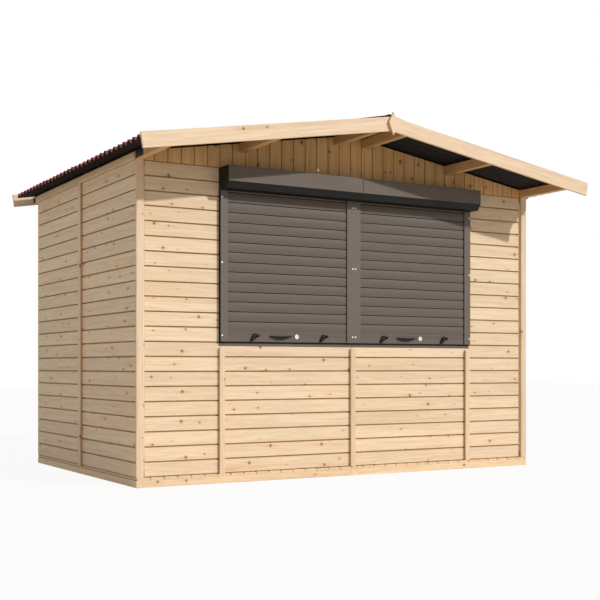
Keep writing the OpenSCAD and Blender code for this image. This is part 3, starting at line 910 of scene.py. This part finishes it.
def slat_outline(low, high):
    """Front contour of the hinged slats, bulging outward, with a narrow joint between them."""
    pts = []
    count = math.ceil((high.z - low.z) / SLAT_H)
    for i in range(count):
        z = low.z + i * SLAT_H
        for k in range(SLAT_STEPS + 1):
            t = k / SLAT_STEPS
            bulge = SLAT_BULGE * (1 - (2 * t - 1) ** 2)
            pts.append((low.y + SLAT_BULGE - bulge, z + GROOVE / 2 + t * (SLAT_H - GROOVE)))
        joint = z + SLAT_H
        pts.append((low.y + SLAT_BULGE + GROOVE_D, joint - GROOVE / 2 + GROOVE_SLANT))
        pts.append((low.y + SLAT_BULGE + GROOVE_D, joint + GROOVE / 2 - GROOVE_SLANT))
    pts = [p for p in pts if p[1] <= high.z]
    return [(low.y + SLAT_BULGE, low.z)] + pts + [(high.y, pts[-1][1]), (high.y, low.z)]


def curtain(side):
    """A shutter's slats, with painted shade in their joints."""
    node = "shutter_curtain_" + side
    low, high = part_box(node)
    slats = extruded(node + "_slats", slat_outline(low, high), low, high, SLAT_COAT,
                     node, smooth=50)
    joint_y, back_y = low.y + SLAT_BULGE + 0.0004, high.y - 0.0004
    # Painted shade: the faces deep in the joints take the black
    darken(slats, SHADE_BLACK, lambda face: joint_y < face.center.y < back_y and abs(face.normal.x) < 0.5)


def bottom_bar(side):
    """Extruded end rail with a ledge along its top and a rib along its foot."""
    node = "bottom_bar_" + side
    low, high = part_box(node)
    y0, y1, z0, z1 = low.y, high.y, low.z, high.z
    outline = rounded([(y0 + 0.001, z0), (y0, z0 + 0.004), (y0, z0 + 0.008), (y0 + 0.0012, z0 + 0.0095),
                       (y0 + 0.0012, z1 - 0.010), (y0 + 0.0004, z1 - 0.008), (y0 + 0.0012, z1 - 0.002),
                       (y0 + 0.003, z1), (y1, z1), (y1, z0)], 0.0006, steps=2)
    extruded(node + "_profile", outline, low, high, SLAT_COAT, node)


for side in ("left", "right"):
    curtain(side)
    bottom_bar(side)

SLOT_PLAY = 0.001
SLOT_REACH = 0.036
# Painted shade: black strips on the outer sides of the first and last rails
SHADE_STRIP_T = 0.0015
SHADE_STRIP_SETBACK = 0.001
guide_boxes = solids_of("guide_rails")
slat_front, slat_back = (corner.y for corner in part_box("shutter_curtain_left"))


def guide_outline(x0, x1, y0, y1, open_left, open_right):
    """Plan of a guide rail: a channel with lips around the ends of the slats."""
    y2, y3 = slat_front - SLOT_PLAY, slat_back + SLOT_PLAY
    a, b = x0 + SLOT_REACH, x1 - SLOT_REACH
    left = [(x0, y3), (a, y3), (a, y2), (x0, y2)] if open_left else []
    right = [(x1, y2), (b, y2), (b, y3), (x1, y3)] if open_right else []
    return [(x0, y1)] + left + [(x0, y0), (x1, y0)] + right + [(x1, y1)]


def guides():
    """Guide rails, and a black strip of painted shade on the outer side of the first and the last one.
    """
    m = Mesh("guide_rail_profiles")
    shade_strips = Mesh("guide_shade_strips")
    for low, high in guide_boxes:
        mid = (low.x + high.x) / 2
        first, last = mid < -NEAR_MIDDLE, mid > NEAR_MIDDLE
        x0 = low.x + (SHADE_STRIP_T if first else 0.0)
        x1 = high.x - (SHADE_STRIP_T if last else 0.0)
        outline = guide_outline(x0, x1, low.y, high.y, not first, not last)
        m.prism(outline, 2, low.z, high.z, ease=0.0009)
        if first or last:
            a, b = (low.x, x0) if first else (x1, high.x)
            shade_strips.block((a, low.y + SHADE_STRIP_SETBACK, low.z), (b, high.y, high.z), along=2, ease=0.0004)
    m.done(RAIL_COAT, ["guide_rails"])
    shade_strips.done(SHADE_BLACK)


guides()


def sills():
    """Flat metal sills with an eased lower edge."""
    m = Mesh("sill_profiles")
    cut = 0.001
    for low, high in solids_of("shutter_sills"):
        m.prism([(low.y, low.z + cut), (low.y + cut, low.z), (high.y, low.z), (high.y, high.z),
                 (low.y, high.z)], 0, low.x, high.x)
    m.done(SILL_METAL, ["shutter_sills"])


sills()
# Painted shade: the black strip below the guides and bars stands for their shadow
give("shutter_seals", SHADE_BLACK)
give("shutter_rolls", SLAT_COAT)
# Painted shade: dark plates stand for the shade on the purlins' outer faces at the front
give("purlin_plates", PURLIN_SHADE)


# Handles, latches, locks and screws

HANDLE_ARCH = 0.002
HANDLE_STEPS = 24
LEVER_HEAD = 0.013
LEVER_TIP = 0.008
LEVER_LENGTH = 0.037
LEVER_TURN = math.radians(233)
LEVER_T = 0.014
KNOB_R = 0.0085
KNOB_DX = 0.018
KNOB_DZ = -0.002
LOCK_STEPS = 32
KEYHOLE_W = 0.0026
KEYHOLE_H = 0.009
SCREW_R = 0.006
SCREW_HEAD = 0.0028
SCREW_IN = 0.011
SCREW_HEIGHTS = (0.912, 1.362, 1.764)


def crescent(low, high):
    """Front outline of a bow handle: a flat upper arc and a deep lower one."""
    half = (high.x - low.x) / 2
    mid = (low.x + high.x) / 2

    def arc(sag, x):
        r = (half * half + sag * sag) / (2 * sag)
        return math.sqrt(max(0.0, r * r - x * x)) - (r - sag)

    xs = [half * math.cos(math.pi * k / HANDLE_STEPS) for k in range(HANDLE_STEPS + 1)]
    lower = [(mid + x, high.z - arc(high.z - low.z, x)) for x in xs]
    upper = [(mid - x, high.z - arc(HANDLE_ARCH, x)) for x in xs[1:-1]]
    return lower + upper


def handles():
    """Bow handles on the shutters' bottom bars."""
    m = Mesh("handle_grips")
    for low, high in solids_of("bow_handles"):
        m.prism(crescent(low, high), 1, low.y, high.y, ease=0.0035, segments=3)
    m.done(BLACK, ["bow_handles"], smooth=50)


def lever_outline(cx, cz):
    """A teardrop: a wide round head and a narrow round tip."""
    spread = math.asin((LEVER_HEAD - LEVER_TIP) / LEVER_LENGTH)
    tip_x = cx + LEVER_LENGTH * math.cos(LEVER_TURN)
    tip_z = cz + LEVER_LENGTH * math.sin(LEVER_TURN)
    quarter = math.pi / 2 - spread
    head = arc_points(cx, cz, LEVER_HEAD, LEVER_TURN + quarter, math.pi + 2 * spread, 18)
    return head + arc_points(tip_x, tip_z, LEVER_TIP, LEVER_TURN - quarter, math.pi - 2 * spread, 8)


def latches():
    """Teardrop levers with a round head and a small knob beside it."""
    m = Mesh("latch_levers")
    for low, high in solids_of("turn_latches"):
        cx = high.x - KNOB_DX - KNOB_R
        cz = high.z - LEVER_HEAD
        m.prism(lever_outline(cx, cz), 1, high.y - LEVER_T, high.y, ease=0.0025, segments=3)
        m.disc((cx + KNOB_DX, high.y, cz + KNOB_DZ), KNOB_R, high.y - low.y, ease=0.002)
    m.done(BLACK, ["turn_latches"], smooth=50)


def lock_rim(m, low, high):
    """A round lock, turned from the radii of its rings and their depths behind its face."""
    cx, cz, r = (low.x + high.x) / 2, (low.z + high.z) / 2, (high.x - low.x) / 2
    profile = ((r, high.y - low.y), (r, 0.0015), (r - 0.0015, 0.0), (r * 0.68, 0.0),
               (r * 0.62, 0.0012), (r * 0.58, 0.0006))
    loops = []
    for radius, depth in profile:
        ring = arc_points(cx, cz, radius, 0.0, 2 * math.pi, LOCK_STEPS)[:-1]
        loops.append([m.bm.verts.new((x, low.y + depth, z)) for x, z in ring])
    faces = [m.bm.faces.new(loops[0]), m.bm.faces.new(loops[-1])]
    for a, b in zip(loops, loops[1:]):
        for k in range(LOCK_STEPS):
            n = (k + 1) % LOCK_STEPS
            faces.append(m.bm.faces.new([a[k], a[n], b[n], b[k]]))
    bmesh.ops.recalc_face_normals(m.bm, faces=faces)
    m.mark([v for loop in loops for v in loop])


def locks():
    """Round lock cylinders: a bright rim, a sunk core and a narrow keyhole."""
    rims = Mesh("lock_rims")
    holes = Mesh("lock_keyholes")
    w, h = KEYHOLE_W / 2, KEYHOLE_H / 2
    for low, high in solids_of("shutter_locks"):
        lock_rim(rims, low, high)
        cx, cz = (low.x + high.x) / 2, (low.z + high.z) / 2
        # Painted shade: the keyhole is a dark block in the core, not a cut
        holes.block((cx - w, low.y + 0.0003, cz - h), (cx + w, low.y + 0.002, cz + h), ease=0.0005)
    rims.done(BRIGHT, ["shutter_locks"], smooth=35)
    holes.done(DARK_HOLE)


handles()
latches()
locks()


def screws():
    """Bright pan-head screws that hold the guide rails: two rows on the middle one, else one."""
    m = Mesh("guide_screws")
    columns = []
    for low, high in guide_boxes:
        mid = (low.x + high.x) / 2
        if abs(mid) < NEAR_MIDDLE:
            columns += [(mid - SCREW_IN, low.y), (mid + SCREW_IN, low.y)]
        else:
            x = low.x + SCREW_IN if mid < 0 else high.x - SCREW_IN
            columns.append((x, low.y))
    for x, y in columns:
        for z in SCREW_HEIGHTS:
            m.disc((x, y, z), SCREW_R, SCREW_HEAD, ease=0.0008, steps=16)
    m.done(BRIGHT, smooth=40)


screws()


# Floor, light and camera

FLOOR_SIZE = 60.0
FLOOR_DROP = 0.0005
WORLD_LIGHT = 0.44
SUN_STRENGTH = 2.27
SUN_ANGLE = 1.5
FLOOR_WHITE = 0.92
SUN_TRAVEL = Vector((-0.626, 1.0, -0.623))
CAMERA_AT = (-3.9095, -6.8496, 0.7211)
CAMERA_YAW = 30.1586
LENS = 65.185
SHIFT_X = 0.0023
SHIFT_Y = 0.1103
SENSOR = 36.0


def seen_white(tree, nodes, shader, white, share):
    """Shows the white shader instead of the other, by share, to the camera and in reflections."""
    path = nodes.new("ShaderNodeLightPath")
    either, more, scaled = (nodes.new("ShaderNodeMath") for _ in range(3))
    either.operation = "MAXIMUM"
    more.operation = "MAXIMUM"
    scaled.operation = "MULTIPLY"
    scaled.inputs[1].default_value = share
    tree.links.new(path.outputs["Is Glossy Ray"], more.inputs[0])
    tree.links.new(path.outputs["Is Transmission Ray"], more.inputs[1])
    tree.links.new(path.outputs["Is Camera Ray"], either.inputs[0])
    tree.links.new(more.outputs[0], either.inputs[1])
    tree.links.new(either.outputs[0], scaled.inputs[0])
    mix = nodes.new("ShaderNodeMixShader")
    tree.links.new(scaled.outputs[0], mix.inputs[0])
    tree.links.new(shader, mix.inputs[1])
    tree.links.new(white, mix.inputs[2])
    return mix.outputs[0]


def floor():
    """The ground: warm where its light falls on the stall, pale and nearly white to the camera."""
    mesh = bpy.data.meshes.new("ground")
    h, z = FLOOR_SIZE / 2, -FLOOR_DROP
    mesh.from_pydata([(-h, -h, z), (h, -h, z), (h, h, z), (-h, h, z)], [], [(0, 1, 2, 3)])
    ground = bpy.data.objects.new("ground", mesh)
    bpy.context.scene.collection.objects.link(ground)
    t = Tree("ground_white", GROUND_SEEN, 0.9, specular=0.1)
    path = t.add("LightPath")
    bounce = t.mix(path.outputs["Is Camera Ray"], GROUND_BOUNCE, GROUND_SEEN)
    t.put(t.shader.inputs["Base Color"], bounce)
    light = t.add("Emission", {"Color": WHITE, "Strength": 1.0})
    surface = seen_white(t.mat.node_tree, t.nodes, t.shader.outputs[0], light.outputs[0], FLOOR_WHITE)
    t.put(t.nodes["Material Output"].inputs["Surface"], surface)
    mesh.materials.append(t.mat)


def world():
    """A soft, slightly cool light from all round, shown as white to the camera."""
    w = bpy.data.worlds.new("studio")
    bpy.context.scene.world = w
    w.use_nodes = True
    nodes, tree = w.node_tree.nodes, w.node_tree
    soft = nodes["Background"]
    soft.inputs[0].default_value = SKY
    soft.inputs[1].default_value = WORLD_LIGHT
    white = nodes.new("ShaderNodeBackground")
    white.inputs[0].default_value = WHITE
    white.inputs[1].default_value = 1.0
    surface = seen_white(tree, nodes, soft.outputs[0], white.outputs[0], 1.0)
    tree.links.new(surface, nodes["World Output"].inputs["Surface"])


def sun():
    """Low sunlight from the right, in front of the stall."""
    data = bpy.data.lights.new("sun", "SUN")
    data.energy = SUN_STRENGTH
    data.angle = math.radians(SUN_ANGLE)
    data.color = SUN_COLOUR
    lamp = bpy.data.objects.new("sun", data)
    lamp.rotation_euler = SUN_TRAVEL.to_track_quat("-Z", "Y").to_euler()
    bpy.context.scene.collection.objects.link(lamp)


def camera():
    """A level camera, shifted up a little so that uprights stay upright."""
    data = bpy.data.cameras.new("camera")
    data.sensor_width = SENSOR
    data.lens = LENS
    data.shift_x = SHIFT_X
    data.shift_y = SHIFT_Y
    data.clip_end = 200.0
    eye = bpy.data.objects.new("camera", data)
    eye.location = CAMERA_AT
    eye.rotation_euler = Euler((math.radians(90), 0, -math.radians(CAMERA_YAW)))
    bpy.context.scene.collection.objects.link(eye)
    bpy.context.scene.camera = eye


floor()
world()
sun()
camera()
bpy.context.scene.view_settings.view_transform = "Standard"
